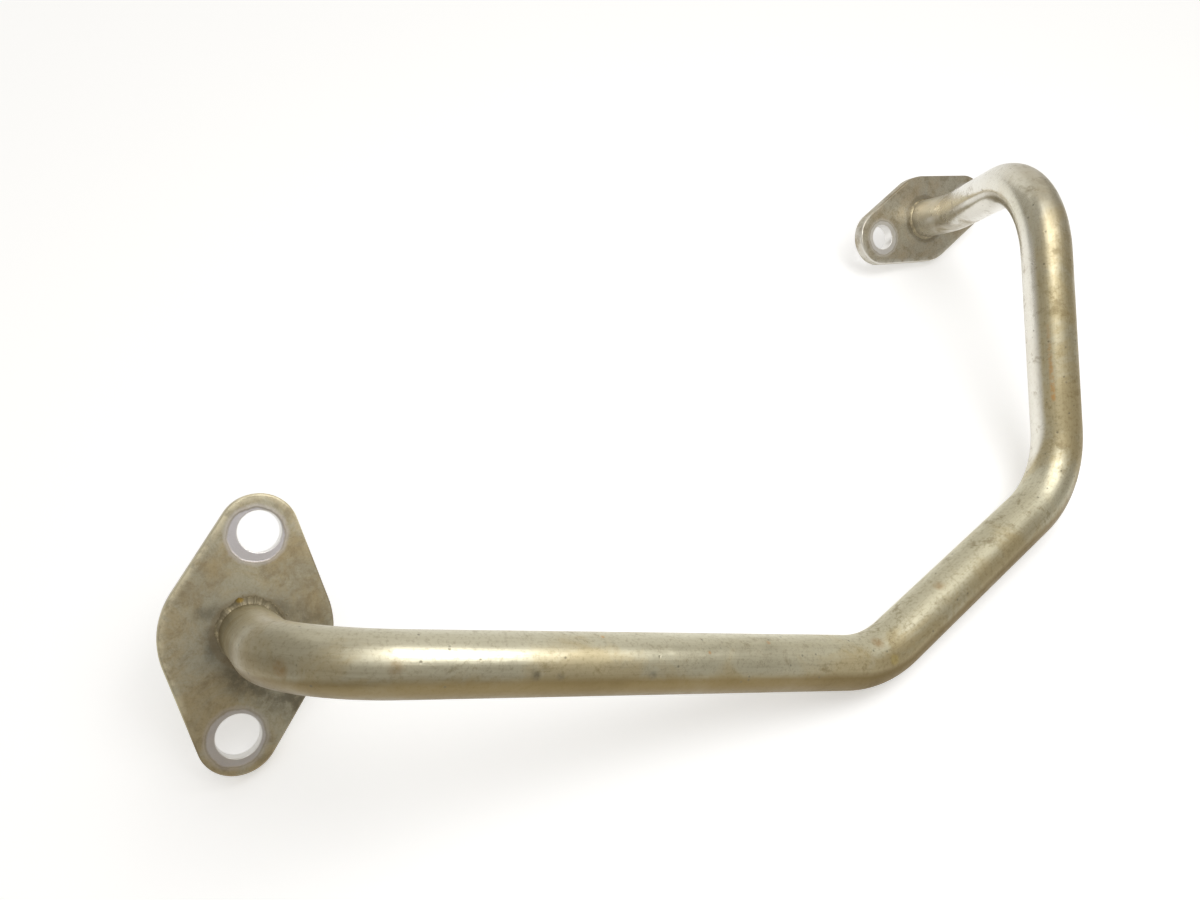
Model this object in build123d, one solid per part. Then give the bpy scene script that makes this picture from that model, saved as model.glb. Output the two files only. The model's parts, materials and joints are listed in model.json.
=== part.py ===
from build123d import *
import math
import os

# Exhaust gas recirculation pipe: one bent tube with a two-bolt flange brazed on at each end.
# Millimetres and degrees, +Z up, lying on the floor the way it comes to rest.

# Tube
tube_d = 14.0
tube_wall = 1.5
bend_r = 28.0             # centre line radius of an ordinary bend
first_bend_r = 24.0       # the bend next to the large flange is tighter
mouth_sunk = 0.5          # each tube end stops this far inside the bolted face
mouth_chamfer = 0.4       # broken inner edge of each tube end
tube_r = tube_d / 2
bore_r = tube_r - tube_wall

# Straight lengths, from the large flange's tube side to the small flange's tube side
large_stub = 30.5
long_run = 114.5
slope_run = 61.5
rise_run = 53.0
fall_run = 30.0
small_stub = 9.0

# Bend angles, in the same order
large_bend_angle = 87.0
low_bend_angle = 37.0
elbow_bend_angle = 61.5
top_bend_angle = 87.0
small_bend_angle = 22.0

# How far the bending direction turns about the tube before each bend but the first
low_turn_angle = 91.5
elbow_turn_angle = 1.5
top_turn_angle = -115.0
small_turn_angle = 99.0
flange_turn_angle = -118.5   # from the last bend to the long axis of the small flange

# Large flange
large_thick = 4.5
large_spacing = 49.5      # between the two bolt holes
large_hole_d = 10.5
large_end_r = 9.5         # round ends, about the bolt holes
large_middle_r = 20.25    # round middle, about the tube

# Small flange
small_thick = 4.0
small_spacing = 44.0
small_hole_d = 9.0
small_end_r = 10.0
small_middle_r = 16.25

# Both flanges
rim_roll = 0.6            # edge drawn down by the blanking tool, on the tube side
rim_break = 0.25          # sharper edge on the bolted side
hole_break = 0.2          # both edges of each bolt hole
seat_gap = 0.05           # all round the tube in its flange, filled by the braze

# Braze fillet on the tube side of each flange
large_bead_w = 2.0        # width on the flange
large_bead_h = 1.6        # height on the tube
small_bead_w = 1.3
small_bead_h = 1.1

# Rough way up while lying on the floor, seen from the large flange: X along its bolt holes,
# Z along the tube that leaves it. The exact direction is worked out from the three feet.
up_guess = Vector(0.54, 0.42, 0.73)
foot_mesh = 0.02          # fineness of the surface points that are tried as feet
foot_mesh_angle = 0.1
foot_steps = 40           # points along each stretch of tube, and most rounds of settling
level_enough = 1e-6       # change of direction that ends the settling
same_place = 0.01         # how near two points are taken as one


def walk():
    """Follow the tube. Gives its centre line and the plane of the small flange."""
    bends = [
        (large_stub, 0.0, first_bend_r, large_bend_angle),
        (long_run, low_turn_angle, bend_r, low_bend_angle),
        (slope_run, elbow_turn_angle, bend_r, elbow_bend_angle),
        (rise_run, top_turn_angle, bend_r, top_bend_angle),
        (fall_run, small_turn_angle, bend_r, small_bend_angle),
    ]
    at = Vector(0, 0, 0)
    ahead = Vector(0, 0, 1)
    hinge = Vector(1, 0, 0)
    start = at - ahead * (large_thick - mouth_sunk)
    edges = []
    for run, turn, radius, angle in bends:
        corner = at + ahead * run
        edges.append(Edge.make_line(start, corner))
        hinge = hinge.rotate(Axis((0, 0, 0), ahead), turn)
        centre = corner + hinge.cross(ahead) * radius
        at = centre + (corner - centre).rotate(Axis((0, 0, 0), hinge), angle)
        edges.append(Edge.make_tangent_arc(corner, ahead, at))
        ahead = ahead.rotate(Axis((0, 0, 0), hinge), angle)
        start = at
    at = at + ahead * small_stub
    edges.append(Edge.make_line(start, at + ahead * (small_thick - mouth_sunk)))
    long_axis = hinge.rotate(Axis((0, 0, 0), ahead), flange_turn_angle)
    return edges, Plane(origin=at, x_dir=long_axis, z_dir=-ahead)


def make_tube(path):
    """Hollow tube of one section all along, with broken inner edges at both mouths."""
    start_plane = Plane(origin=path @ 0, z_dir=path % 0)
    ring = start_plane * (Circle(tube_r) - Circle(bore_r))
    blank = sweep(ring, path=path)
    mouths = [
        edge for edge in blank.edges().filter_by(GeomType.CIRCLE)
        if abs(edge.radius - bore_r) < same_place
        and min((edge.arc_center - path @ end).length for end in (0, 1)) < same_place
    ]
    return chamfer(mouths, mouth_chamfer)


def make_hole(thick, hole_d):
    """Cutter for a bolt hole through a plate that lies just below z = 0, both edges broken."""
    r = hole_d / 2
    wide = r + hole_break
    outline = Polyline(
        (0, 0), (wide, 0), (r, -hole_break), (r, hole_break - thick), (wide, -thick), (0, -thick),
        close=True,
    )
    return revolve(Plane.XZ * make_face(outline), Axis.Z)


def make_flange(thick, spacing, hole_d, end_r, middle_r):
    """Blanked plate. Its tube side is the local plane z = 0, the bolted side is below."""
    ends = [Pos(x, 0) for x in (-spacing / 2, spacing / 2)]
    rounds = Circle(middle_r).edges()
    for end in ends:
        rounds += (end * Circle(end_r)).edges()
    plate = extrude(make_hull(rounds), -thick)
    plate = chamfer(plate.faces().sort_by(Axis.Z)[-1].edges(), rim_roll)
    plate = chamfer(plate.faces().sort_by(Axis.Z)[0].edges(), rim_break)
    for end in ends:
        plate -= end * make_hole(thick, hole_d)
    seat = extrude(Circle(tube_r + seat_gap), -thick)
    return plate - seat


def make_bead(width, height):
    """Braze fillet round the tube, from the plate up to the tube wall."""
    outline = Polyline((tube_r, 0), (tube_r + width, 0), (tube_r, height), close=True)
    return revolve(Plane.XZ * make_face(outline), Axis.Z)


def resting_up(plates, centre_line):
    """Upward direction when one foot is on each flange and one under the tube."""
    corners = [[Vector(*p) for p in plate.tessellate(foot_mesh, foot_mesh_angle)[0]] for plate in plates]
    line = [edge @ (k / foot_steps) for edge in centre_line for k in range(foot_steps + 1)]
    up = up_guess.normalized()
    for _ in range(foot_steps):
        feet = [min(points, key=lambda p: p.dot(up)) for points in corners]
        feet.append(min(line, key=lambda p: p.dot(up)) - up * tube_r)
        level = (feet[1] - feet[0]).cross(feet[2] - feet[0]).normalized()
        if level.dot(up) < 0:
            level = -level
        change = (level - up).length
        up = level
        if change < level_enough:
            break
    return up


centre_line, small_plane = walk()
path = Wire(centre_line)
tube = make_tube(path)
large_flange = make_flange(large_thick, large_spacing, large_hole_d, large_end_r, large_middle_r)
small_flange = small_plane * make_flange(
    small_thick, small_spacing, small_hole_d, small_end_r, small_middle_r
)
parts = {
    "tube": tube,
    "large_flange": large_flange,
    "small_flange": small_flange,
    "large_braze": make_bead(large_bead_w, large_bead_h),
    "small_braze": small_plane * make_bead(small_bead_w, small_bead_h),
}
section = math.pi * (tube_r ** 2 - bore_r ** 2)
print("tube volume", round(tube.volume), "section times length", round(section * path.length))

# Lay it down: the floor under its three feet, the long run pointing along +X.
up = resting_up([large_flange, small_flange], centre_line)
run_dir = centre_line[2] % 0
along = (run_dir - up * run_dir.dot(up)).normalized()
lay = Plane(origin=(0, 0, 0), x_dir=along, z_dir=up).location.inverse()
parts = {name: lay * shape for name, shape in parts.items()}
box = Compound(list(parts.values())).bounding_box()
shift = Pos(-box.center().X, -box.center().Y, -box.min.Z)
parts = {name: shift * shape for name, shape in parts.items()}

os.makedirs("parts", exist_ok=True)
for name, shape in parts.items():
    export_step(shape, "parts/" + name + ".step")
    low, high = shape.bounding_box().min, shape.bounding_box().max
    print(name, "from", [round(v, 2) for v in low], "to", [round(v, 2) for v in high])
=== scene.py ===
# %% [markdown]
# The pipe
#
# This part carries hot exhaust gas: one bent steel tube with a flat two-bolt flange brazed on at
# each end. It lies on a pale floor, on one corner of each flange and the underside of a bend.
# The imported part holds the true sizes. This script dresses it: a smooth tube swept along the same
# route, plates with rolled edges, lumpy braze, and steel that heat and years have coloured.
# We work in metres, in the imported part's own frame, and never move anything of it.

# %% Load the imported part
import bmesh
import bpy
import json
import math
from mathutils import Matrix, Vector, noise


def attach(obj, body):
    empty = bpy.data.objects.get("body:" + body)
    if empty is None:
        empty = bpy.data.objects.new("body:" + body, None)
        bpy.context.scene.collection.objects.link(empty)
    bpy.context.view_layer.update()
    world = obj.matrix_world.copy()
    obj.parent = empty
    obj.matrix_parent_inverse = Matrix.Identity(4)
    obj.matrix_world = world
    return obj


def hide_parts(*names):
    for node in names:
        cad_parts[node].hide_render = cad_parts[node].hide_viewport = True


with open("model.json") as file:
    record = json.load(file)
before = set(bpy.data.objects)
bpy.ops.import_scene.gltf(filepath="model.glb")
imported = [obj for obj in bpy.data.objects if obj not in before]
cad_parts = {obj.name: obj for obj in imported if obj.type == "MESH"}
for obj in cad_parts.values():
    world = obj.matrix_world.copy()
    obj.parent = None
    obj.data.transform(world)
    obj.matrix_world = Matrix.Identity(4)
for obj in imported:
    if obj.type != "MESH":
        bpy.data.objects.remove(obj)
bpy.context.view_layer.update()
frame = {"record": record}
MM = 0.001

# %% [markdown]
# Where the flanges are
#
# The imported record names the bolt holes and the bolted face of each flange, with their places.
# From these we build one local frame per flange: X runs through both bolt holes, Z points out of
# the tube side, and zero is on the tube side, in the middle of the tube.

# %% Local frames of the two flanges
LARGE = dict(thick=4.5 * MM, spacing=49.5 * MM, hole=10.5 * MM, end_r=9.5 * MM, middle_r=20.25 * MM)
SMALL = dict(thick=4.0 * MM, spacing=44.0 * MM, hole=9.0 * MM, end_r=10.0 * MM, middle_r=16.25 * MM)
mounts = {mount["name"]: mount for mount in frame["record"]["mounts"]}


def flange_frame(name, thick):
    middle = Vector(mounts[name + "_bolts"]["pos_m"])
    z = -Vector(mounts[name + "_bolts"]["axis"]).normalized()
    x = (Vector(mounts[name + "_face"]["pos_m"]) - middle).normalized()
    local = Matrix((x, z.cross(x), z)).transposed().to_4x4()
    local.translation = middle + z * thick
    return local


large_frame = flange_frame("large", LARGE["thick"])
small_frame = flange_frame("small", SMALL["thick"])
for local in (large_frame, small_frame):
    print("flange at", [round(v / MM, 1) for v in local.translation], "mm")

# %% [markdown]
# The route of the tube
#
# A tube bender works from a short list: push the tube forward, turn it about itself, bend it.
# We walk through the same list and collect points, few on the straights and many on the bends.
# The walk starts on the large flange, so the same local frame puts the route in its place, and
# the distance left at the small flange tells whether the list is right.

# %% Walk along the route
TUBE_R = 7.0 * MM
TUBE_WALL = 1.5 * MM
MOUTH_SUNK = 0.5 * MM
BENDS = [  # straight run, turn about the tube, bend radius, bend angle
    (30.5 * MM, 0.0, 24 * MM, 87.0),
    (114.5 * MM, 91.5, 28 * MM, 37.0),
    (61.5 * MM, 1.5, 28 * MM, 61.5),
    (53.0 * MM, -115.0, 28 * MM, 87.0),
    (30.0 * MM, 99.0, 28 * MM, 22.0),
]
LAST_RUN = 9.0 * MM
ARC_STEP = 2.0  # degrees between two points of a bend
RUN_STEP = 4.0 * MM


def walk_route():
    at = Vector((0, 0, 0))
    ahead = Vector((0, 0, 1))
    hinge = Vector((1, 0, 0))
    points = [at - ahead * (LARGE["thick"] - MOUTH_SUNK)]

    def go_straight(goal):
        start = points[-1]
        steps = max(1, round((goal - start).length / RUN_STEP))
        points.extend(start.lerp(goal, k / steps) for k in range(1, steps + 1))

    for run, turn, radius, angle in BENDS:
        corner = at + ahead * run
        go_straight(corner)
        hinge = Matrix.Rotation(math.radians(turn), 3, ahead) @ hinge
        centre = corner + hinge.cross(ahead) * radius
        steps = round(angle / ARC_STEP)
        for k in range(1, steps + 1):
            swing = Matrix.Rotation(math.radians(angle) * k / steps, 3, hinge)
            points.append(centre + swing @ (corner - centre))
        ahead = Matrix.Rotation(math.radians(angle), 3, hinge) @ ahead
        at = points[-1]
    end = at + ahead * LAST_RUN
    go_straight(end + ahead * (SMALL["thick"] - MOUTH_SUNK))
    return [large_frame @ p for p in points], large_frame @ end


route, route_end = walk_route()
route_error = (route_end - small_frame.translation).length
print("route of", len(route), "points, off by", round(route_error / MM, 3), "mm")

# %% [markdown]
# Building node trees in code
#
# Both the shapes and the finishes below are node trees, and a few small helpers keep the cells
# short. One fills or links a node's inputs, one adds a node, one starts a Geometry Nodes tree with
# named inputs and one ends it.

# %% Helpers for node trees
def fill(tree, node, values):
    """Give a node's inputs their values. A socket among the values is linked."""
    for name, value in values.items():
        if isinstance(value, bpy.types.NodeSocket):
            tree.links.new(value, node.inputs[name])
        else:
            node.inputs[name].default_value = value
    return node


def add(tree, kind, values=None, **settings):
    made = tree.nodes.new(kind)
    for name, value in settings.items():
        setattr(made, name, value)
    return fill(tree, made, values or {})


def shape_tree(name, inputs):
    tree = bpy.data.node_groups.new(name, "GeometryNodeTree")
    tree.interface.new_socket("Geometry", in_out="INPUT", socket_type="NodeSocketGeometry")
    tree.interface.new_socket("Geometry", in_out="OUTPUT", socket_type="NodeSocketGeometry")
    for label, kind in inputs.items():
        tree.interface.new_socket(label, in_out="INPUT", socket_type="NodeSocket" + kind)
    return tree, tree.nodes.new("NodeGroupInput").outputs, tree.nodes.new("NodeGroupOutput").inputs


def end_shape(tree, geometry, finish, result):
    """Shade it smooth, make all of it real and give it its finish."""
    smooth = add(tree, "GeometryNodeSetShadeSmooth", {0: geometry})
    real = add(tree, "GeometryNodeRealizeInstances", {0: smooth.outputs[0]})
    painted = add(tree, "GeometryNodeSetMaterial", {
        "Geometry": real.outputs[0], "Material": finish})
    tree.links.new(painted.outputs[0], result["Geometry"])


print("helpers for node trees are ready")

# %% [markdown]
# From a node tree to a plain mesh
#
# A Geometry Nodes tree works through a modifier, which takes its inputs by identifier, so a helper
# finds these by name. Another one freezes the result: it asks Blender for the finished shape and
# keeps it as a plain mesh. Shapes that we build face by face become a mesh through a third.

# %% Helpers for meshes
def grow(owner, tree, values):
    modifier = owner.modifiers.new(tree.name, "NODES")
    modifier.node_group = tree
    for item in tree.interface.items_tree:
        if item.in_out == "INPUT" and item.name in values:
            modifier[item.identifier] = values[item.name]
    return modifier


def freeze(owner, name):
    """Turn an object and its modifiers into a plain mesh of that name."""
    bpy.context.view_layer.update()
    graph = bpy.context.evaluated_depsgraph_get()
    mesh = bpy.data.meshes.new_from_object(owner.evaluated_get(graph), depsgraph=graph)
    bpy.data.objects.remove(owner)
    return place(name, mesh)


def close_shell(shell, name):
    """End the building of a mesh, with its faces turned outwards."""
    bmesh.ops.recalc_face_normals(shell, faces=shell.faces)
    mesh = bpy.data.meshes.new(name)
    shell.to_mesh(mesh)
    shell.free()
    mesh.shade_smooth()
    return mesh


def place(name, data):
    """An object at the origin for a mesh, a curve, a light or a camera."""
    data.name = name
    made = bpy.data.objects.new(name, data)
    bpy.context.scene.collection.objects.link(made)
    return made


print("helpers for meshes are ready")

# %% [markdown]
# Helpers for finishes
#
# A finish is a chain of small questions: is this point in a cloudy patch, how far is it from the
# joint, does it face down. Each helper adds one step of an answer and gives back its socket, so
# that the next step can use it.

# %% Helpers for finishes
def new_finish(name):
    finish = bpy.data.materials.new(name)
    finish.use_nodes = True
    tree = finish.node_tree
    tree.nodes.clear()
    shader = tree.nodes.new("ShaderNodeBsdfPrincipled")
    output = tree.nodes.new("ShaderNodeOutputMaterial")
    tree.links.new(shader.outputs["BSDF"], output.inputs["Surface"])
    return finish, tree, shader


def calc(tree, operation, *values, clamp=False):
    inputs = dict(enumerate(values))
    return add(tree, "ShaderNodeMath", inputs, operation=operation, use_clamp=clamp).outputs[0]


def times(tree, first, second):
    return calc(tree, "MULTIPLY", first, second)


def times_plus(tree, value, factor, extra):
    return calc(tree, "MULTIPLY_ADD", value, factor, extra)


def minus(tree, first, second):
    return calc(tree, "SUBTRACT", first, second)


def larger(tree, first, second):
    return calc(tree, "MAXIMUM", first, second)


def fade(tree, value, zero_at, one_at):
    """0 up to one limit, 1 from the other, and a soft step between them."""
    made = add(tree, "ShaderNodeMapRange", {
        "Value": value, "From Min": zero_at, "From Max": one_at}, interpolation_type="SMOOTHSTEP")
    return made.outputs["Result"]


def cloud(tree, where, scale, detail=4.0, rough=0.55, warp=0.0):
    return add(tree, "ShaderNodeTexNoise", {
        "Vector": where, "Scale": scale, "Detail": detail, "Roughness": rough,
        "Distortion": warp}).outputs["Fac"]


def stretch(tree, where, scale):
    return add(tree, "ShaderNodeMapping", {"Vector": where, "Scale": scale}).outputs["Vector"]


def mix(tree, factor, first, second):
    """A blend of two colours, each a socket or three numbers."""
    first, second = (
        c if isinstance(c, bpy.types.NodeSocket) else (*c, 1) for c in (first, second))
    values = {0: factor, 6: first, 7: second}
    return add(tree, "ShaderNodeMix", values, data_type="RGBA").outputs[2]


print("helpers for finishes are ready")

# %% [markdown]
# Helpers for places
#
# Stains and smudges sit at places of their own. The distance of a point to a place, or to a line
# between two places, becomes a soft spot: 1 in its middle and 0 outside.

# %% Helpers for places
def join(tree, x, y, z=0.0):
    return add(tree, "ShaderNodeCombineXYZ", {"X": x, "Y": y, "Z": z}).outputs[0]


def split(tree, vector):
    return add(tree, "ShaderNodeSeparateXYZ", {0: vector}).outputs


def vector_math(tree, operation, inputs):
    return add(tree, "ShaderNodeVectorMath", inputs, operation=operation).outputs


def dot(tree, first, second):
    return vector_math(tree, "DOT_PRODUCT", {0: first, 1: second})["Value"]


def distance(tree, first, second):
    return vector_math(tree, "DISTANCE", {0: first, 1: second})["Value"]


def length(tree, offset):
    return vector_math(tree, "LENGTH", {0: offset})["Value"]


def near_point(tree, where, point, inner, outer):
    """1 inside the inner radius round a point, 0 outside the outer one."""
    return fade(tree, distance(tree, where, point), outer, inner)


def near_line(tree, where, start, end, inner, outer):
    """The same for a straight line between two points."""
    along = end - start
    offset = vector_math(tree, "SUBTRACT", {0: where, 1: start})["Vector"]
    reach = dot(tree, offset, along / along.length_squared)
    reach = calc(tree, "ADD", reach, 0.0, clamp=True)  # stay between both ends
    foot = vector_math(tree, "SCALE", {0: along, "Scale": reach})["Vector"]
    return fade(tree, distance(tree, offset, foot), outer, inner)


print("helpers for places are ready")

# %% [markdown]
# Tube steel
#
# The tube is stainless steel. The cool end at the small flange is still silvery, with a satin
# gloss, and elsewhere heat and use coloured it. The next cells lay one coat over the other: oxide,
# brown film, speckle and pinholes, rust and stains. The first two also paint light and shade.
#
# Short lists say how dull, clean or stained the tube is at each distance from the large flange,
# and a colour ramp reads them. The sweep further down stores a coordinate that runs straight
# along the tube, so these lists and the grain follow every bend.

# %% Where a point lies on the tube
TUBE_LENGTH = 444 * MM
# the tube is painted paler towards this side and browner away from it, as painted light and shade
UPPER_SIDE = Vector((0.0, 0.76, 0.65))  # up and towards the back
OUTER_SIDE = Vector((0.93, 0.0, 0.37))  # of the rising run, away from the rest of the pipe


def along_tube(tree, along, stops):
    """A value that changes along the tube. A stop is a distance in mm and the value there."""
    ramp = add(tree, "ShaderNodeValToRGB", {0: calc(tree, "DIVIDE", along, TUBE_LENGTH)})
    marks = ramp.color_ramp.elements
    while len(marks) < len(stops):
        marks.new(1.0)
    for mark, (distance_mm, value) in zip(marks, stops):
        mark.position = distance_mm * MM / TUBE_LENGTH
        mark.color = (value, value, value, 1)
    return ramp.outputs["Color"]


def tube_point(tree):
    coordinates = add(tree, "ShaderNodeTexCoord").outputs
    straight = add(tree, "ShaderNodeAttribute", attribute_name="straight").outputs["Vector"]
    facing = dot(tree, coordinates["Normal"], UPPER_SIDE)
    outwards = dot(tree, coordinates["Normal"], OUTER_SIDE)
    return coordinates["Object"], straight, split(tree, straight)["X"], facing, outwards


print("lists run from 0 to", round(TUBE_LENGTH / MM), "mm along the tube")

# %% [markdown]
# Oxide, clean stretches and painted light
#
# Heat left straw oxide in soft clouds. More straw is painted on the lower side and more silver on
# the upper side, as painted light and shade. Towards the small flange the tube stayed clean. The
# inner side of the rising run is painted pale as a painted reflection, and it is made glossier. A
# noise mixes two colours for the clouds, and a third one goes over them on the clean stretches and
# on the painted reflection.

# %% Coat 1: oxide, with painted light and shade
SILVER = (0.665, 0.635, 0.485)
STRAW = (0.59, 0.515, 0.33)
# pale clean steel, also the colour of a painted reflection on the rising run
CLEAN_AND_SHEEN = (0.88, 0.86, 0.79)
CLEANNESS = [(0, 0.0), (60, 0.08), (150, 0.0), (340, 0.0), (368, 0.42), (390, 0.90), (444, 1.0)]
INNER_GLOSS_AND_SHEEN = [  # how pale and glossy the inner side of the rising run is: painted reflection and real gloss
    (0, 0.0), (272, 0.0), (286, 0.8), (350, 0.8), (365, 0.3), (444, 0.0),
]


def lay_oxide_and_painted_light(tree, here, along, facing, outwards):
    patches = cloud(tree, here, 60, detail=6, rough=0.65, warp=0.5)
    # painted light and shade: more straw on the lower side, more silver on the upper side
    tint = minus(tree, patches, times(tree, facing, 0.14))
    colour = mix(tree, fade(tree, tint, 0.38, 0.58), SILVER, STRAW)
    clean_and_sheen = along_tube(tree, along, CLEANNESS)
    clean_and_sheen = times(tree, clean_and_sheen, fade(tree, patches, 0.85, 0.50))
    # painted reflection: the inner side of the rising run is painted pale
    inner = along_tube(tree, along, INNER_GLOSS_AND_SHEEN)
    inner = times(tree, fade(tree, outwards, -0.58, -0.74), inner)
    clean_and_sheen = larger(tree, clean_and_sheen, inner)
    return mix(tree, clean_and_sheen, colour, CLEAN_AND_SHEEN), patches, clean_and_sheen, inner


print("clean from", CLEANNESS[-2][0], "mm to the small flange")

# %% [markdown]
# Brown film and painted shade
#
# Brown is painted on the underside as painted shade. On the first bend and the slope a brown film
# climbs up the sides, thicker away from the upper side as painted shade. A brown film lies on the
# outer side of the rising run, and small blots lie all over. Each gives a strength from 0 to 1, and
# the strongest one counts, so they don't add up to a black tube where they meet.

# %% Coat 2: brown film and painted shade
BROWN = (0.21, 0.148, 0.05)
FLANKED = [  # how far brown climbs up the first bend and the slope, away from the upper side: film and painted shade
    (0, 0.0), (15, 0.0), (25, 0.5), (50, 0.5), (62, 0.0),
    (182, 0.0), (195, 0.36), (258, 0.36), (272, 0.0),
]
WEATHERED = [  # how brown the outer side is
    (0, 0.0), (180, 0.0), (195, 0.30), (255, 0.30), (272, 0.0),
    (288, 0.8), (380, 0.8), (392, 0.0), (444, 0.0),
]
BLOTTED = [  # where there are more blots
    (0, 0.0), (150, 0.0), (172, 0.4), (200, 0.35), (225, 0.2), (265, 0.2), (275, 0.0), (444, 0.0),
]
FILMED = [  # how thick the film is all round
    (0, 0.45), (12, 0.45), (30, 0.30), (45, 0.30), (75, 0.05), (180, 0.0), (444, 0.0),
]


def lay_film_and_painted_shade(tree, colour, here, along, facing, outwards, clean_and_sheen):
    not_clean = calc(tree, "SUBTRACT", 0.90, clean_and_sheen, clamp=True)
    # painted shade: brown on the underside, except on the clean stretches and the painted
    # reflection
    painted_underside_shade = times(tree, fade(tree, facing, 0.0, -0.40), not_clean)
    # brown film on the first bend and the slope, thicker away from the upper side as painted shade
    flank = along_tube(tree, along, FLANKED)
    flank = times(tree, fade(tree, facing, 0.75, 0.20), flank)
    outer = along_tube(tree, along, WEATHERED)
    outer = times(tree, fade(tree, outwards, -0.35, 0.15), outer)
    blots = cloud(tree, here, 150, detail=7, rough=0.75, warp=0.3)
    blots = times_plus(tree, outer, 0.11, blots)
    blots = times_plus(tree, along_tube(tree, along, BLOTTED), 0.08, blots)
    blots = fade(tree, blots, 0.54, 0.70)
    all_round = times_plus(tree, outer, 0.42, along_tube(tree, along, FILMED))
    film = larger(tree, painted_underside_shade, flank)
    film = larger(tree, film, times(tree, blots, 0.5))
    film = larger(tree, film, all_round)
    return mix(tree, film, colour, BROWN), blots, outer


print("film placed by", len(FLANKED + WEATHERED + BLOTTED + FILMED), "stops in four lists")

# %% [markdown]
# Speckle, grain and pinholes
#
# From close by the steel is sandy, with faint lines from drawing the tube and a few pinholes. The
# grain is a noise stretched along the straight coordinate. A Voronoi texture scatters points
# evenly, and only a few of these are chosen as pinholes.

# %% Coat 3: speckle, grain and pinholes
# dark soot, also the colour of a painted shadow on the large plate
SOOT_AND_SHADOW = (0.16, 0.145, 0.105)
GRAIN_SCALE = (120, 2600, 2600)  # along the tube and across it
PINHOLE_SCALE = 520.0
PINHOLE_SHARE = (0.84, 0.88)  # only points whose random value is above these become pinholes


def lay_speckle(tree, colour, here, straight, clean_and_sheen):
    soiled = calc(tree, "SUBTRACT", 1.0, clean_and_sheen, clamp=True)
    sand = cloud(tree, here, 1100, detail=4, rough=0.7)
    strength = times_plus(tree, soiled, 0.22, 0.06)
    speckle = times(tree, fade(tree, sand, 0.48, 0.68), strength)
    colour = mix(tree, speckle, colour, BROWN)
    grain = cloud(tree, stretch(tree, straight, GRAIN_SCALE), 1.0, detail=3)
    lines = times(tree, fade(tree, grain, 0.45, 0.75), times(tree, soiled, 0.15))
    colour = mix(tree, lines, colour, BROWN)
    holes = add(tree, "ShaderNodeTexVoronoi", {"Vector": here, "Scale": PINHOLE_SCALE}).outputs
    chosen = add(tree, "ShaderNodeSeparateColor", {0: holes["Color"]}).outputs["Red"]
    pit = fade(tree, holes["Distance"], 0.22, 0.08)
    pit = times(tree, pit, fade(tree, chosen, *PINHOLE_SHARE))
    return mix(tree, times(tree, pit, 0.6), colour, SOOT_AND_SHADOW), sand, grain, pit


print("grain is", round(GRAIN_SCALE[1] / GRAIN_SCALE[0]), "times as long as it is wide")

# %% [markdown]
# Rust and stains
#
# One rusty streak runs down the rising run, and a few small stains lie on the long run, the slope
# and the rise. Each has a place of its own in the part's frame. A crumbly noise breaks up their
# borders, so they look grown and not stamped.

# %% Coat 4: rust and stains
RUST = (0.62, 0.30, 0.07)
UMBER = (0.36, 0.22, 0.08)
OCHRE = (0.58, 0.46, 0.13)
STREAK = (Vector((104.4, -13.0, 43.5)) * MM, Vector((102.2, -30.4, 30.4)) * MM)
SPOTS = [  # place in mm, radius in mm, colour, strength
    ((-44.9, -85.4, 42.7), 0.7, RUST, 0.7),
    ((-4.3, -86.8, 26.8), 0.8, RUST, 0.7),
    ((-20.5, -89.6, 33.6), 0.6, RUST, 0.6),
    ((-60.8, -93.8, 47.6), 1.6, SOOT_AND_SHADOW, 0.7),
    ((-55.7, -94.0, 45.4), 1.3, SOOT_AND_SHADOW, 0.6),
    ((-35.3, -94.0, 37.0), 1.5, SOOT_AND_SHADOW, 0.5),
    ((-109.7, -87.9, 58.9), 2.6, UMBER, 0.6),
    ((-87.6, -92.5, 59.6), 2.2, UMBER, 0.5),
    ((27.1, -86.9, 14.8), 2.4, UMBER, 0.6),
    ((50.1, -74.2, 14.5), 2.2, UMBER, 0.5),
    ((30.5, -91.4, 12.7), 2.0, OCHRE, 0.6),
    ((106.1, -27.7, 34.3), 0.5, SOOT_AND_SHADOW, 0.7),
    ((100.9, -29.9, 29.0), 0.4, SOOT_AND_SHADOW, 0.7),
]


def lay_stains(tree, colour, here):
    crumbs = fade(tree, cloud(tree, here, 500, detail=4, rough=0.7), 0.34, 0.60)
    streak = times(tree, near_line(tree, here, *STREAK, 0.15 * MM, 0.9 * MM), crumbs)
    colour = mix(tree, times(tree, streak, 0.6), colour, RUST)
    for spot, size, mark_colour, strength in SPOTS:
        near = near_point(tree, here, Vector(spot) * MM, 0.2 * size * MM, size * MM)
        near = times(tree, near, times_plus(tree, crumbs, 0.6, 0.4))
        colour = mix(tree, times(tree, near, strength), colour, mark_colour)
    return colour


print("one streak of", round((STREAK[1] - STREAK[0]).length / MM), "mm and", len(SPOTS), "stains")

# %% [markdown]
# Gloss and relief of the tube
#
# How dull the steel is decides how wide its gleams are, and that shows more than its colour. The
# list gives the roughness along the tube, and blots, clouds and sand change it a little. Two
# bumps, one of broad waves and one of the fine grain, keep the gleams from being too straight.

# %% Finish of the tube
DULLNESS = [
    (0, 0.40), (45, 0.38), (80, 0.37), (150, 0.37), (190, 0.56), (256, 0.54), (280, 0.38),
    (302, 0.48), (322, 0.40), (345, 0.31), (365, 0.28), (395, 0.20), (415, 0.22), (444, 0.34),
]
WAVE_HEIGHT = 0.6 * MM
GRAIN_HEIGHT = 0.06 * MM


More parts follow.
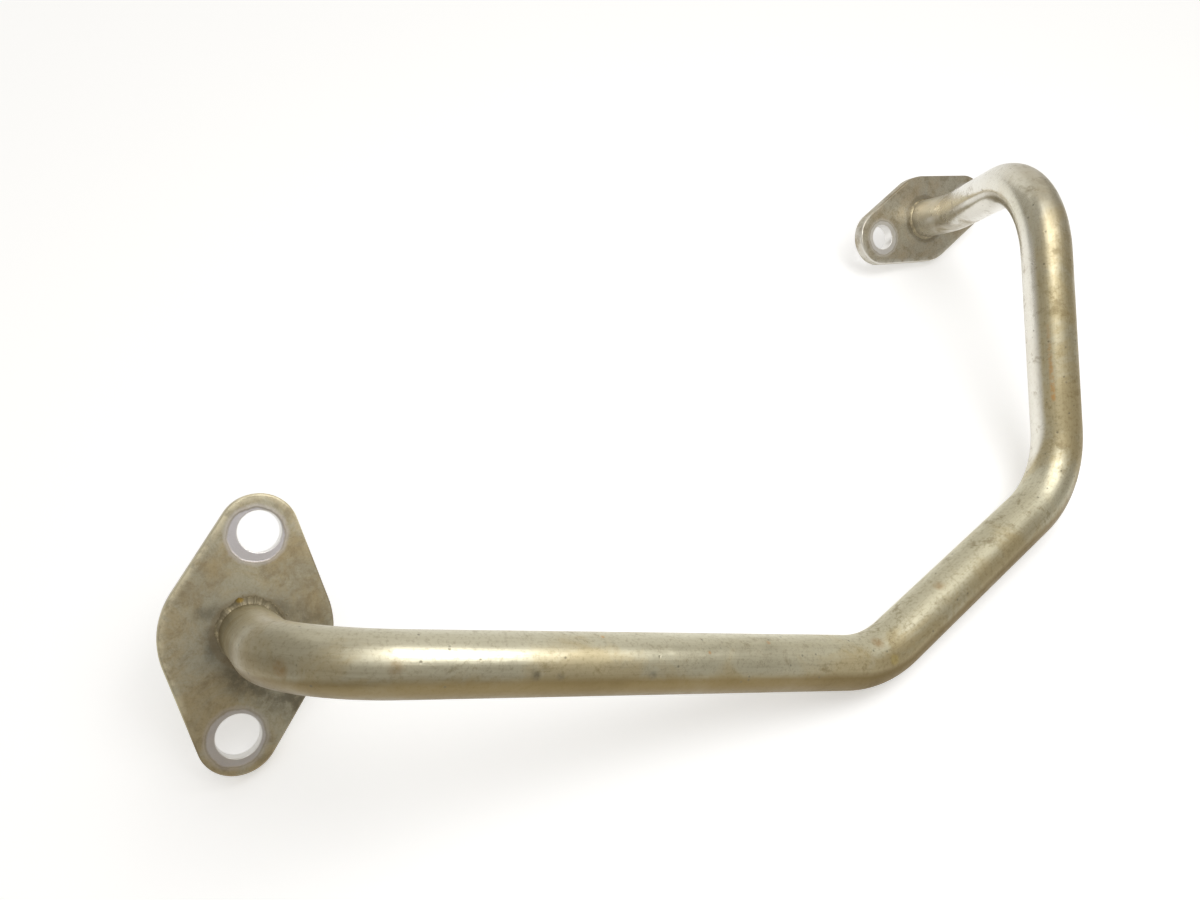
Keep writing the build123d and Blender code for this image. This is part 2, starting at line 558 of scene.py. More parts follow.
def tube_finish():
    finish, tree, shader = new_finish("tube_steel")
    here, straight, along, facing, outwards = tube_point(tree)
    colour, patches, clean_and_sheen, inner = lay_oxide_and_painted_light(tree, here, along, facing, outwards)
    colour, blots, outer = lay_film_and_painted_shade(tree, colour, here, along, facing, outwards, clean_and_sheen)
    colour, sand, grain, pit = lay_speckle(tree, colour, here, straight, clean_and_sheen)
    colour = lay_stains(tree, colour, here)

    dull = times_plus(tree, blots, 0.10, along_tube(tree, along, DULLNESS))
    dull = times_plus(tree, minus(tree, outer, inner), 0.10, dull)
    dull = times_plus(tree, minus(tree, patches, 0.5), 0.45, dull)
    dull = times_plus(tree, sand, 0.12, minus(tree, dull, 0.05))

    waves = add(tree, "ShaderNodeBump", {
        "Height": cloud(tree, here, 70, detail=3), "Strength": 0.45, "Distance": WAVE_HEIGHT})
    fine = minus(tree, calc(tree, "ADD", grain, sand), times(tree, pit, 2.0))
    bump = add(tree, "ShaderNodeBump", {
        "Height": fine, "Strength": 0.25, "Distance": GRAIN_HEIGHT, "Normal": waves.outputs[0]})

    fill(tree, shader, {
        "Base Color": colour, "Roughness": dull, "Normal": bump.outputs[0],
        "Metallic": 1.0, "Coat Weight": 0.15, "Coat Roughness": 0.25})
    return finish


tube_steel = tube_finish()
print("finish", tube_steel.name, "has", len(tube_steel.node_tree.nodes), "nodes")

# %% [markdown]
# Sweeping the tube
#
# The tube follows a rule: one round section along one route. Geometry Nodes sweep a circle along
# a curve made from the route's points, and keep two numbers from the sweep for the grain: how far
# along we are, and where on the circle. The sweep gives a skin without thickness. Solidify adds
# the wall inwards, and Bevel breaks the sharp edges of both mouths.

# %% Sweep the tube
TUBE_SIDES = 96
MOUTH_BREAK = 0.35 * MM
MOUTH_ANGLE = math.radians(50)  # only edges sharper than this are broken


def sweep_tree():
    tree, given, result = shape_tree("Swept tube", {
        "Radius": "Float", "Sides": "Int", "Finish": "Material"})
    far = add(tree, "GeometryNodeSplineParameter").outputs["Length"]
    keep_far = add(tree, "GeometryNodeCaptureAttribute")
    keep_far.capture_items.new("FLOAT", "Far")
    fill(tree, keep_far, {"Geometry": given["Geometry"], "Far": far})
    ring = add(tree, "GeometryNodeCurvePrimitiveCircle", {
        "Resolution": given["Sides"], "Radius": given["Radius"]})
    at = add(tree, "GeometryNodeInputPosition").outputs[0]
    keep_spot = add(tree, "GeometryNodeCaptureAttribute")
    keep_spot.capture_items.new("VECTOR", "Spot")
    fill(tree, keep_spot, {"Geometry": ring.outputs["Curve"], "Spot": at})
    swept = add(tree, "GeometryNodeCurveToMesh", {
        "Curve": keep_far.outputs["Geometry"], "Profile Curve": keep_spot.outputs["Geometry"]})
    across, upwards, _ = split(tree, keep_spot.outputs["Spot"])
    straight = join(tree, keep_far.outputs["Far"], across, upwards)
    stored = add(tree, "GeometryNodeStoreNamedAttribute", {
        "Geometry": swept.outputs[0], "Name": "straight", "Value": straight},
        data_type="FLOAT_VECTOR", domain="POINT")
    end_shape(tree, stored.outputs[0], given["Finish"], result)
    return tree


def route_curve(points):
    line = bpy.data.curves.new("route", "CURVE")
    line.dimensions = "3D"
    spline = line.splines.new("POLY")
    spline.points.add(len(points) - 1)
    for spot, point in zip(spline.points, points):
        spot.co = (*point, 1)
    return place("route", line)


skin = route_curve(route)
grow(skin, sweep_tree(), {"Radius": TUBE_R, "Sides": TUBE_SIDES, "Finish": tube_steel})
skin = freeze(skin, "skin")
wall = skin.modifiers.new("wall", "SOLIDIFY")
wall.thickness = TUBE_WALL
wall.offset = -1
mouths = skin.modifiers.new("mouths", "BEVEL")
mouths.width = MOUTH_BREAK
mouths.segments = 2
mouths.angle_limit = MOUTH_ANGLE
tube = freeze(skin, "bent_tube")
print("tube of", len(tube.data.polygons), "faces")

# %% [markdown]
# Outlines of the flange plates
#
# A blanked plate has a drawn-down, rounded edge on one side and a sharper one on the other. Its
# outline is a taut band round three circles, and an inset of that outline is the same band round
# smaller circles. A rounded edge is then a list of insets, each with its depth.

# %% Outlines and edges
TURN_STEP = 3  # degrees between two points of a round
ROUND_STEPS = 5


def circle_points(x, radius):
    angles = [math.radians(a) for a in range(0, 360, TURN_STEP)]
    return [(x + radius * math.cos(a), radius * math.sin(a)) for a in angles]


def band_points(size, inset):
    half = size["spacing"] / 2
    lean = math.degrees(math.acos((size["middle_r"] - size["end_r"]) / half))
    arcs = [
        (half, size["end_r"], -lean, lean),
        (0, size["middle_r"], lean, 180 - lean),
        (-half, size["end_r"], 180 - lean, 180 + lean),
        (0, size["middle_r"], 180 + lean, 360 - lean),
    ]
    points = []
    for x, radius, first, last in arcs:
        steps = max(2, round((last - first) / TURN_STEP))
        for k in range(steps + 1):
            a = math.radians(first + (last - first) * k / steps)
            points.append((x + (radius - inset) * math.cos(a), (radius - inset) * math.sin(a)))
    return points


def rounded(size, direction):
    """Pairs of inset and depth along a quarter round, from the flat side to the wall."""
    angles = [math.pi / 2 * k / ROUND_STEPS for k in range(ROUND_STEPS + 1)]
    return [(size * (1 - math.sin(a)), direction * size * (1 - math.cos(a))) for a in angles]


print("a band has", len(band_points(LARGE, 0)), "points, a hole", len(circle_points(0, 1)))

# %% [markdown]
# Flange plates
#
# Each edge is a stack of outlines at growing depth, joined by strips of faces, and the bolt holes
# are stacks of circles. The two flat sides are filled between the outer and the inner rims. A
# narrow strip next to each edge keeps the shading of the flat side flat.

# %% Make a plate
ROLL = 0.6 * MM
BREAK = 0.25 * MM
HOLE_BREAK = 0.2 * MM
SEAT_GAP = 0.02 * MM
SUPPORT = 0.15 * MM
MERGE_GAP = 0.001 * MM
SHARP_ANGLE = math.radians(40)


def plate_mesh(size):
    shell = bmesh.new()
    thick = size["thick"]
    bottom = [(inset, -thick + depth) for inset, depth in reversed(rounded(BREAK, 1))]
    rim = [(ROLL + SUPPORT, 0.0)] + rounded(ROLL, -1) + bottom + [(BREAK + SUPPORT, -thick)]
    lip = [(HOLE_BREAK + SUPPORT, 0.0)] + rounded(HOLE_BREAK, -1)
    lip += [(inset, -thick - depth) for inset, depth in reversed(lip)]
    hole = size["hole"] / 2
    seat = [(0.0, 0.0), (0.0, -thick)]
    stacks = [[(band_points(size, inset), z) for inset, z in rim]]
    for x in (-size["spacing"] / 2, size["spacing"] / 2):
        stacks.append([(circle_points(x, hole + inset), z) for inset, z in lip])
    stacks.append([(circle_points(0, TUBE_R + SEAT_GAP + inset), z) for inset, z in seat])
    flats = ([], [])
    for stack in stacks:
        loops = [[shell.verts.new((x, y, z)) for x, y in points] for points, z in stack]
        for upper, lower in zip(loops, loops[1:]):
            for k in range(len(upper)):
                n = (k + 1) % len(upper)
                shell.faces.new((upper[k], upper[n], lower[n], lower[k]))
        for flat, loop in zip(flats, (loops[0], loops[-1])):
            flat.extend(shell.edges.get(pair) for pair in zip(loop, loop[1:] + loop[:1]))
    for flat in flats:
        bmesh.ops.triangle_fill(shell, edges=flat, use_beauty=True)
    bmesh.ops.remove_doubles(shell, verts=shell.verts, dist=MERGE_GAP)
    mesh = close_shell(shell, "plate")
    mesh.set_sharp_from_angle(angle=SHARP_ANGLE)
    return mesh


large_plate = plate_mesh(LARGE)
small_plate = plate_mesh(SMALL)
print("plates of", len(large_plate.polygons), "and", len(small_plate.polygons), "faces")

# %% [markdown]
# Flange steel
#
# The plates are plain steel under a golden brown oxide with a sandy grain. Around the tube the
# brazing flame left a smoky grey cloud. On the large plate soot and brown smudges lie where a
# short list puts them, mostly under the first bend, and the first entry of that list is a painted
# shadow that the tube casts there. The small plate is a little paler. All of it is drawn in the
# flange's local frame, so one recipe serves both plates: a Mapping node of the texture kind brings
# each point back to that frame.

# %% Oxide, smoke, soot and painted shadow
HIDE = (0.50, 0.47, 0.36)
GOLD = (0.48, 0.40, 0.25)
SMOKE = (0.37, 0.365, 0.31)
# earthy brown, also the colour of painted shade on the rolled edge
EARTH_AND_SHADE = (0.25, 0.195, 0.115)
WHITISH = (0.90, 0.89, 0.89)
SMUDGES_AND_SHADOW = [  # on the large plate: two ends in mm in its own frame, reach in mm, strength, colour
    # painted shadow that the tube casts on the plate, under its first bend
    ((-10.5, 1.5, 0), (-17.0, -13.0, 0), 6.8, 0.65, SOOT_AND_SHADOW),
    ((4.8, 7.6, 0), (4.2, 11.0, 0), 3.3, 0.50, SOOT_AND_SHADOW),
    ((0.0, 8.8, 0), (-6.0, 8.0, 0), 2.2, 0.45, SOOT_AND_SHADOW),
    ((5.5, -6.5, 0), (3.6, -17.5, 0), 4.2, 0.45, SOOT_AND_SHADOW),
    ((17.0, -9.0, 0), (6.0, -17.0, 0), 7.0, 0.32, EARTH_AND_SHADE),
    ((10.0, 14.0, 0), (16.0, 9.0, 0), 6.0, 0.25, EARTH_AND_SHADE),
]
RAGGED = 14 * MM  # how far the border of the smoke wanders
CORNER = (9.6 * MM, 8.6 * MM)  # radius where the darker ring round the bead starts and is full


def flange_point(tree, local):
    there = add(tree, "ShaderNodeTexCoord").outputs["Object"]
    here = add(tree, "ShaderNodeMapping", {
        "Vector": there, "Location": local.translation, "Rotation": tuple(local.to_euler())},
        vector_type="TEXTURE").outputs["Vector"]
    x, y, z = split(tree, here)
    return here, join(tree, x, y), x, y, z


def lay_plate_oxide_and_shadow(tree, here, flat, sand, smoke_r, speckle, bleach, smudges_and_shadow):
    # oxide clouds, and over them the smoke of the brazing flame
    clouds = cloud(tree, here, 75, detail=6, rough=0.7, warp=0.6)
    colour = mix(tree, fade(tree, clouds, 0.38, 0.62), HIDE, GOLD)
    radius = length(tree, flat)
    ragged = cloud(tree, here, 120, detail=6, rough=0.7, warp=0.5)
    ragged = times_plus(tree, ragged, RAGGED, -RAGGED / 2)
    smoke = fade(tree, calc(tree, "ADD", radius, ragged), smoke_r, TUBE_R)
    colour = mix(tree, times(tree, smoke, 0.7), colour, SMOKE)
    colour = mix(tree, bleach, colour, WHITISH)

    # brown blots, sandy speckle, smudges, a painted shadow, and a darker ring in the corner round
    # the bead
    blots = fade(tree, cloud(tree, here, 190, detail=7, rough=0.75, warp=0.4), 0.46, 0.68)
    colour = mix(tree, times(tree, blots, 0.55), colour, EARTH_AND_SHADE)
    grains = times(tree, fade(tree, sand, 0.46, 0.66), speckle)
    colour = mix(tree, grains, colour, EARTH_AND_SHADE)
    uneven = fade(tree, cloud(tree, here, 330, detail=5, rough=0.7), 0.36, 0.60)
    uneven = times_plus(tree, uneven, 0.8, 0.4)
    # on the large plate the first entry paints the tube's shadow, and the rest are smudges
    for start, end, reach, strength, mark_colour in smudges_and_shadow:
        start, end, reach = Vector(start) * MM, Vector(end) * MM, reach * MM
        near = times(tree, near_line(tree, here, start, end, 0.1 * reach, reach), uneven)
        colour = mix(tree, times(tree, near, strength), colour, mark_colour)
    # a darker ring in the corner between bead and plate
    corner = calc(tree, "ADD", radius, times(tree, ragged, 0.12))
    corner = times(tree, fade(tree, corner, *CORNER), 0.5)
    return mix(tree, corner, colour, EARTH_AND_SHADE)


print("smoke wanders by", round(RAGGED / MM), "mm,", len(SMUDGES_AND_SHADOW), "smudges have their own places")

# %% [markdown]
# Pale and dark edges
#
# On one side a band along the outline is paler, from wear and a painted highlight, and the rolled
# edge there carries more painted highlight. On the other side the rolled edge is darker as painted
# shade.
# We work out how far a point is from the outline. The plate has four equal quarters, so one is
# enough: a round middle, a straight side and a round end, and the place of the point says which
# of the three it is next to.

# %% Edges of the plates
# colours of the pale edge: wear, and painted highlight on the rolled edge
PALE_RIM = (0.88, 0.81, 0.60)
GREY_RIM = (0.80, 0.78, 0.72)
WEAR_AND_SHEEN_WIDTH = (-2.2 * MM, -0.5 * MM)  # from the outline, where the band of wear and painted highlight starts and is full
SHADE_TO_SHEEN_SIDE = (-6 * MM, 10 * MM)  # across the plate, from the painted shade side to the side of wear and painted highlight


def edge_gap(tree, x, y, size):
    """How far a point of the plate is from its outline, less than zero inside."""
    half = size["spacing"] / 2
    lean = (size["middle_r"] - size["end_r"]) / half
    side = math.sqrt(1 - lean * lean)
    x, y = calc(tree, "ABSOLUTE", x), calc(tree, "ABSOLUTE", y)
    spot = join(tree, x, y)
    middle = minus(tree, length(tree, spot), size["middle_r"])
    end = minus(tree, distance(tree, spot, (half, 0, 0)), size["end_r"])
    straight = times_plus(tree, y, side, -size["middle_r"])
    straight = times_plus(tree, x, lean, straight)
    reach = times_plus(tree, x, side, times(tree, y, -lean))
    past_middle = calc(tree, "GREATER_THAN", reach, 0.0)
    past_straight = calc(tree, "GREATER_THAN", reach, side * half)
    near_end = add(tree, "ShaderNodeMix", {0: past_middle, 2: middle, 3: straight}).outputs[0]
    return add(tree, "ShaderNodeMix", {0: past_straight, 2: near_end, 3: end}).outputs[0]


def wear_and_light_edges(tree, colour, here, x, y, z, size, rim):
    # side is 1 where the edge is paler from wear and painted highlight, 0 where it gets painted
    # shade
    side = fade(tree, times_plus(tree, x, 0.5, y), *SHADE_TO_SHEEN_SIDE)
    band_noise = fade(tree, cloud(tree, here, 260, detail=5, rough=0.7), 0.36, 0.60)
    worn_and_lit = times(tree, fade(tree, edge_gap(tree, x, y, size), *WEAR_AND_SHEEN_WIDTH), side)
    worn_and_lit = times(tree, worn_and_lit, band_noise)
    colour = mix(tree, times(tree, worn_and_lit, 0.6), colour, rim)
    rolled = fade(tree, z, -0.02 * MM, -0.12 * MM)
    rolled = times(tree, rolled, fade(tree, z, -0.9 * MM, -0.6 * MM))
    # painted shade: the rolled edge darkens where side is 0
    painted_edge_shade = times(tree, rolled, fade(tree, side, 0.5, 0.0))
    colour = mix(tree, times(tree, painted_edge_shade, 0.6), colour, EARTH_AND_SHADE)
    # painted highlight: the rolled edge turns pale where side is 1
    rolled = times(tree, rolled, side)
    return mix(tree, times(tree, rolled, 0.7), colour, rim), rolled


print("edges are rubbed", round(-WEAR_AND_SHEEN_WIDTH[0] / MM, 1), "mm inwards")

# %% [markdown]
# Rings at the bolt holes
#
# The bolt heads pressed a clean ring round each hole, off centre because the holes have play,
# with a thin dark outline where dirt gathered at the edge of the head. The walls of the holes
# are bare. A ring is a distance from its middle, with a little noise added so its edge wavers.

# %% Rings and walls of the holes
BARE = (0.72, 0.70, 0.745)
BORE = (0.90, 0.89, 0.87)
RING_WAVER = 0.9 * MM
RING_DEPTH = 0.06 * MM
SAND_HEIGHT = 0.03 * MM


def press_rings(tree, colour, here, flat, sand, rolled, size, marks, mark_r):
    height = times(tree, sand, SAND_HEIGHT)
    shine = times(tree, rolled, 0.6)
    for (mark, clear, bare), hole_x in zip(marks, (size["spacing"] / 2, -size["spacing"] / 2)):
        waver = times_plus(tree, cloud(tree, here, 420), RING_WAVER, -RING_WAVER / 2)
        gap = calc(tree, "ADD", distance(tree, flat, mark), waver)
        halo = times(tree, fade(tree, gap, mark_r + 1.3 * MM, mark_r), 0.5 * clear)
        colour = mix(tree, halo, colour, bare)
        outline = fade(tree, gap, mark_r - 0.5 * MM, mark_r)
        outline = times(tree, fade(tree, gap, mark_r + 0.3 * MM, mark_r), outline)
        pressed = fade(tree, gap, mark_r + 0.1 * MM, mark_r - 0.5 * MM)
        colour = mix(tree, times(tree, pressed, clear), colour, bare)
        colour = mix(tree, times(tree, outline, 0.35), colour, EARTH_AND_SHADE)
        height = minus(tree, height, times(tree, pressed, RING_DEPTH))
        shine = larger(tree, shine, pressed)
        hole_r = size["hole"] / 2
        wall = distance(tree, flat, (hole_x, 0, 0))
        colour = mix(tree, fade(tree, wall, hole_r + 0.3 * MM, hole_r + 0.1 * MM), colour, BORE)
    return colour, height, shine


print("rings are pressed in by", round(RING_DEPTH / MM, 2), "mm")

# %% [markdown]
# Finish of both plates
#
# One function puts the layers together for either plate. It is told what differs: the size of the
# rings and of the smoke, how strong the speckle is, how pale the oxide, and the colour of the pale
# edge, which is wear and painted highlight. Rings and rolled edges are a little glossier.

# %% Finish of the flanges
def flange_finish(name, local, size, marks, mark_r, smoke_r, speckle, bleach, rim, smudges_and_shadow):
    """Each mark is the middle of a ring in the flange's frame, how clear it is, its colour."""
    finish, tree, shader = new_finish(name)
    here, flat, x, y, z = flange_point(tree, local)
    sand = cloud(tree, here, 1700, detail=3, rough=0.7)
    colour = lay_plate_oxide_and_shadow(tree, here, flat, sand, smoke_r, speckle, bleach, smudges_and_shadow)
    colour, rolled = wear_and_light_edges(tree, colour, here, x, y, z, size, rim)
    colour, height, shine = press_rings(
        tree, colour, here, flat, sand, rolled, size, marks, mark_r)
    dull = minus(tree, 0.46, times(tree, shine, 0.14))
    dull = times_plus(tree, sand, 0.12, minus(tree, dull, 0.06))
    bump = add(tree, "ShaderNodeBump", {"Height": height, "Strength": 1.0, "Distance": 1.0})
    fill(tree, shader, {
        "Base Color": colour, "Roughness": dull, "Normal": bump.outputs[0], "Metallic": 0.9})
    print("finish", name, "has", len(tree.nodes), "nodes")
    return finish


large_marks = [((23.85 * MM, 0.68 * MM, 0), 0.85, BARE), ((-25.2 * MM, 0.5 * MM, 0), 0.5, BARE)]
small_marks = [((21.8 * MM, 0.25 * MM, 0), 0.9, WHITISH), ((-22.2 * MM, 0.1 * MM, 0), 0.9, WHITISH)]
large_steel = flange_finish(
    "large_flange_steel", large_frame, LARGE, large_marks, mark_r=6.9 * MM, smoke_r=17 * MM,
    speckle=0.22, bleach=0.0, rim=PALE_RIM, smudges_and_shadow=SMUDGES_AND_SHADOW)
small_steel = flange_finish(
    "small_flange_steel", small_frame, SMALL, small_marks, mark_r=6.4 * MM, smoke_r=11 * MM,
    speckle=0.36, bleach=0.14, rim=GREY_RIM, smudges_and_shadow=[])

# %% [markdown]
# Plates on the tube ends
#
# The plates were made flat, in their local frames. Here the frame of each flange is put into the
# mesh itself, so the objects stay at the origin and their Object coordinates are those of the part.

# %% Put the plates in place
flanges = {}
for name, mesh, local, finish in (
    ("large_flange_plate", large_plate, large_frame, large_steel),
    ("small_flange_plate", small_plate, small_frame, small_steel),
):
    mesh.materials.append(finish)
    mesh.transform(local)
    flanges[name] = place(name, mesh)
    print(name, "in place")

# %% [markdown]
# Colour of the braze
#
# The joint is closed by braze, a filler metal that flows in at red heat. It cooled to a dark
# brown with golden patches, and one fat drop on the large bead burnt yellow. The drop's colour
# is put round one point, where the next cell makes the bead thicker.

# %% Finish of the braze
BRAZE_DARK = (0.30, 0.26, 0.175)
BRAZE_GOLD = (0.60, 0.52, 0.34)
BURNT = (0.40, 0.27, 0.06)
BLOB = large_frame @ (Vector((8.0, 3.1, 0.6)) * MM)
BLOB_R = (0.5 * MM, 1.3 * MM)  # fully yellow inside the first, not at all outside the second


def braze_finish():
    finish, tree, shader = new_finish("braze")
    here = add(tree, "ShaderNodeTexCoord").outputs["Object"]
    bright = fade(tree, cloud(tree, here, 300, detail=5, rough=0.7), 0.48, 0.66)
    colour = mix(tree, bright, BRAZE_DARK, BRAZE_GOLD)
    burnt = times(tree, near_point(tree, here, BLOB, *BLOB_R), 0.85)
    colour = mix(tree, burnt, colour, BURNT)
    bump = add(tree, "ShaderNodeBump", {
        "Height": cloud(tree, here, 1500), "Strength": 0.5, "Distance": 0.1 * MM})
    fill(tree, shader, {
        "Base Color": colour, "Roughness": 0.42, "Normal": bump.outputs[0], "Metallic": 0.85})
    return finish


braze = braze_finish()
print("finish", braze.name, "has", len(braze.node_tree.nodes), "nodes")

# %% [markdown]
# Braze beads
#
# The bead ran round the tube and froze in small ripples. Its section is a hollow corner fillet.
# We build it as a strip round the tube whose width and height change with a steady ripple and
# some slow noise, so no two stretches are alike. It's fullest where the filler was fed in, and
# the fat drop froze near there. Its back is sunk a little into tube and plate.

# %% Make a bead
BEAD_STEPS = 240
SECTION_STEPS = 8
RIPPLE = 0.9 * MM
HOLLOW = 1.4  # 1 is a straight slope, more is a hollower one
BULGE = 0.175  # share of the width by which the middle of the slope stands out
BLOB_SIDE = 21.0  # degrees round the large bead
BLOB_SPREAD = 6.0  # degrees
SUNK_IN_TUBE = 0.1 * MM
SUNK_IN_PLATE = 0.05 * MM


def bead_mesh(width, height, lumps, full_side, lean, blob, seed):
    """Fullest at full_side, in degrees, and thinner by lean towards the other side."""
    shell = bmesh.new()
    loops = []
    ripples = round(math.tau * (TUBE_R + width) / RIPPLE)
    for k in range(BEAD_STEPS):
        a = math.tau * k / BEAD_STEPS
        spot = Vector((math.cos(a), math.sin(a), seed))
        slow = noise.noise(spot * 2.2)
        quick = noise.noise(spot * 7.0)
        ripple = abs(math.sin(a * ripples / 2))
        swell = 1 - lean + lean * math.cos(a - math.radians(full_side))
        swell *= 1 + lumps * (0.9 * slow + 0.5 * quick + 0.15 * (ripple - 0.6))
        swell += blob * math.exp(-((math.degrees(a) - BLOB_SIDE) / BLOB_SPREAD) ** 2)
        section = []
        for j in range(SECTION_STEPS + 1):
            t = j / SECTION_STEPS
            bulge = BULGE * width * swell * math.sin(math.pi * t)
            out = (width * swell + SUNK_IN_TUBE) * (1 - t) ** HOLLOW + bulge
            up = (height * swell + SUNK_IN_PLATE) * t ** HOLLOW + bulge
            section.append((out, up))
        section.append((0.0, 0.0))
        loops.append([])
        for out, up in section:
            r = TUBE_R - SUNK_IN_TUBE + out
            point = (r * math.cos(a), r * math.sin(a), up - SUNK_IN_PLATE)
            loops[-1].append(shell.verts.new(point))
    for first, second in zip(loops, loops[1:] + loops[:1]):
        for j in range(len(first)):
            n = (j + 1) % len(first)
            shell.faces.new((first[j], second[j], second[n], first[n]))
    return close_shell(shell, "bead")


beads = {}
for name, local, shape in (
    ("large_bead", large_frame, dict(
        width=1.6 * MM, height=1.3 * MM, full_side=-12, lean=0.40,
        lumps=0.55, blob=0.35, seed=3.1)),
    ("small_bead", small_frame, dict(
        width=0.9 * MM, height=0.8 * MM, full_side=90, lean=0.15,
        lumps=0.25, blob=0.0, seed=8.4)),
):
    mesh = bead_mesh(**shape)
    mesh.materials.append(braze)
    mesh.transform(local)
    beads[name] = place(name, mesh)
    print(name, len(mesh.polygons), "faces")

# %% [markdown]
# Spatter
#
# Little drops of braze sit on the plate, on one side of the joint. Things that are nearly alike
# are work for Geometry Nodes: random points in part of a ring, a small ball on each, flattened
# and scaled at random, then made real so that the export keeps them.

# %% Scatter the drops
SMALLEST_DROP = 0.35  # as a share of the largest
DROP_FLATNESS = 0.6


def drops_tree():
    tree, given, result = shape_tree("Braze drops", {
        "Count": "Int", "Inner Radius": "Float", "Outer Radius": "Float", "First Angle": "Float",
        "Last Angle": "Float", "Drop Size": "Float", "Seed": "Int", "Finish": "Material"})

    def chance(low, high, offset):
        values = {2: low, 3: high, "Seed": calc(tree, "ADD", given["Seed"], offset)}
        return add(tree, "FunctionNodeRandomValue", values, data_type="FLOAT").outputs[1]

    angle = chance(given["First Angle"], given["Last Angle"], 1)
    radius = chance(given["Inner Radius"], given["Outer Radius"], 2)
    x = times(tree, radius, calc(tree, "COSINE", angle))
    y = times(tree, radius, calc(tree, "SINE", angle))
    spot = join(tree, x, y)
    points = add(tree, "GeometryNodePoints", {"Count": given["Count"], "Position": spot})
    ball = add(tree, "GeometryNodeMeshIcoSphere", {"Radius": given["Drop Size"], "Subdivisions": 3})
    wide = chance(SMALLEST_DROP, 1.0, 3)
    scale = join(tree, wide, wide, times(tree, wide, DROP_FLATNESS))
    sown = add(tree, "GeometryNodeInstanceOnPoints", {
        "Points": points.outputs[0], "Instance": ball.outputs["Mesh"], "Scale": scale})
    end_shape(tree, sown.outputs[0], given["Finish"], result)
    return tree


drops = drops_tree()
spatter = {}
for name, local, values in (
    ("large_spatter", large_frame, {
        "Count": 11, "Inner Radius": TUBE_R + 0.8 * MM, "Outer Radius": TUBE_R + 2.6 * MM,
        "First Angle": math.radians(-75), "Last Angle": math.radians(60),
        "Drop Size": 0.42 * MM, "Seed": 5, "Finish": braze}),
    ("small_spatter", small_frame, {
        "Count": 6, "Inner Radius": TUBE_R + 0.5 * MM, "Outer Radius": TUBE_R + 1.8 * MM,
        "First Angle": math.radians(40), "Last Angle": math.radians(160),
        "Drop Size": 0.3 * MM, "Seed": 9, "Finish": braze}),
):
    seedbed = place(name + "_seedbed", bpy.data.meshes.new("seedbed"))
    grow(seedbed, drops, values)
    spatter[name] = freeze(seedbed, name)
    spatter[name].data.transform(local)
    print(name, len(spatter[name].data.polygons), "faces")

# %% [markdown]
# Pieces on the body
#
# Each dressed piece rides on the part's one body, and the imported node it stands for is hidden.

# %% Put the pieces on the body
for piece, nodes, slot in (
    (tube, ("tube",), "tube_steel"),
    (flanges["large_flange_plate"], ("large_flange",), "flange_steel"),
    (flanges["small_flange_plate"], ("small_flange",), "flange_steel"),
    (beads["large_bead"], ("large_braze",), "braze"),
    (beads["small_bead"], ("small_braze",), "braze"),
    (spatter["large_spatter"], (), "braze"),
    (spatter["small_spatter"], (), "braze"),
):
    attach(piece, "root")
    if nodes:
        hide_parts(*nodes)
    print(piece.name, "stands for", nodes or "nothing packed", "with the finish of", slot)

# %% [markdown]
# The floor
#
# The part lies on a wide floor, as pale as paper and not glossy. The floor gives a little white of
# its own to the camera and to reflections, never to the part as light. So it looks white up to
# the corners of the picture and still keeps the soft shadow of the pipe. The first bend mirrors a
# darker floor on its left, so there the white in reflections fades out.

# %% Floor
FLOOR_HALF = 4.0
PAPER = (0.87, 0.88, 0.90)
FLOOR_LIFT = 0.40  # extra white of the floor's own, for the camera only
FLOOR_GLOSS = 0.30  # the same for reflections
GLOSS_FADES = (-0.30, -0.13)  # along X, from none to all of it

floor_mesh = bpy.data.meshes.new("floor")
corners = [(x * FLOOR_HALF, y * FLOOR_HALF, 0) for x, y in ((-1, -1), (1, -1), (1, 1), (-1, 1))]
floor_mesh.from_pydata(corners, [], [(0, 1, 2, 3)])
floor = place("floor", floor_mesh)
paper, tree, shader = new_finish("floor_paper")
rays = add(tree, "ShaderNodeLightPath").outputs
across = split(tree, add(tree, "ShaderNodeTexCoord").outputs["Object"])["X"]
lift = times(tree, rays["Is Glossy Ray"], FLOOR_GLOSS)
lift = times(tree, lift, fade(tree, across, *GLOSS_FADES))
lift = times_plus(tree, rays["Is Camera Ray"], FLOOR_LIFT, lift)
fill(tree, shader, {
    "Base Color": (*PAPER, 1), "Roughness": 0.95, "Specular IOR Level": 0.1,
    "Emission Color": (1, 1, 1, 1), "Emission Strength": lift})
floor_mesh.materials.append(paper)
print("floor", 2 * FLOOR_HALF, "m wide")

# %% [markdown]
# Lamps and world
#
# Satin metal shows its surroundings, so we place each lamp by what the tube mirrors. A small soft
# box close above the right part gives the long gleam that fades towards the bends. A wide dim
# lamp overhead lights floor and plates evenly, and a wide low one behind gives the bright line on
# the far side of the tube. The world is a plain warm grey, for the rest of the room. Each lamp is
# set by how bright its face is, and its power follows from its size.

# %% Lamps and world
ROOM = (0.41, 0.39, 0.35)


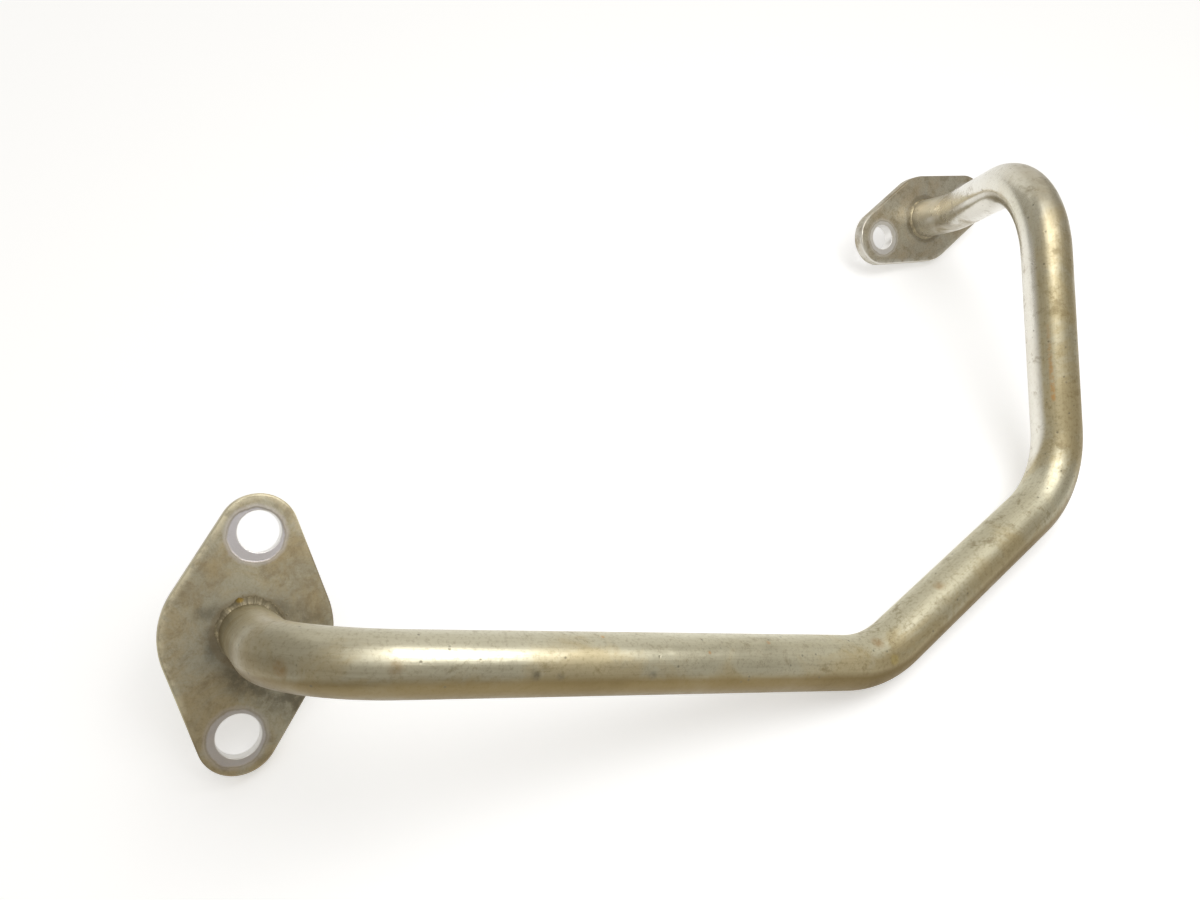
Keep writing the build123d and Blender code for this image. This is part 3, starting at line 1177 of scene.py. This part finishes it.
def lamp(name, azimuth, elevation, away, width, height, gleam):
    """A soft lamp that looks at the part. Azimuth runs from +Y towards +X, in degrees."""
    light = bpy.data.lights.new(name, "AREA")
    light.shape = "RECTANGLE"
    light.size = width
    light.size_y = height
    light.energy = gleam * math.pi * width * height
    owner = place(name, light)
    a, e = math.radians(azimuth), math.radians(elevation)
    towards = Vector((math.sin(a) * math.cos(e), math.cos(a) * math.cos(e), math.sin(e)))
    owner.location = towards * away
    owner.rotation_euler = towards.to_track_quat("Z", "Y").to_euler()
    print(name, "at", [round(v, 2) for v in owner.location], "m,", round(light.energy, 2), "W")
    return owner


near_box = lamp("near_soft_box", azimuth=126, elevation=70, away=0.30,
                width=0.17, height=0.17, gleam=3.0)
near_box.visible_camera = False
lamp("overhead_soft_lamp", azimuth=100, elevation=78, away=2.2,
     width=2.0, height=2.1, gleam=0.8)
lamp("north_soft_lamp", azimuth=10, elevation=25, away=3.0,
     width=4.5, height=3.0, gleam=0.40)
world = bpy.data.worlds.new("room")
world.use_nodes = True
room = world.node_tree.nodes["Background"].inputs["Color"]
room.default_value = (*ROOM, 1)
bpy.context.scene.world = world
bpy.context.scene.view_settings.view_transform = "Standard"
print("room colour", [round(v, 2) for v in room.default_value[:3]])

# %% [markdown]
# Camera
#
# The camera stands close, a little to the left, and looks down on the pipe. Its place, aim, roll
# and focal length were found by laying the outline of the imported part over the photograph.

# %% Camera
CAMERA_AT = Vector((-65.2, -171.3, 216.0)) * MM
CAMERA_AIM = Vector((-33.9, -29.3, 37.8)) * MM
CAMERA_ROLL = math.radians(1.04)
SENSOR_WIDTH = 36.0  # mm, as Blender's cameras take it
FOCAL_LENGTH = 25.85  # mm too

lens = bpy.data.cameras.new("camera")
lens.sensor_width = SENSOR_WIDTH
lens.lens = FOCAL_LENGTH
lens.clip_start = 10 * MM
camera = place("camera", lens)
camera.location = CAMERA_AT
look = (CAMERA_AIM - CAMERA_AT).to_track_quat("-Z", "Y").to_matrix()
camera.rotation_euler = (look @ Matrix.Rotation(CAMERA_ROLL, 3, "Z")).to_euler()
bpy.context.scene.camera = camera
aim_distance = (CAMERA_AIM - CAMERA_AT).length
print("camera", round(aim_distance / MM), "mm from its aim, lens", FOCAL_LENGTH, "mm")
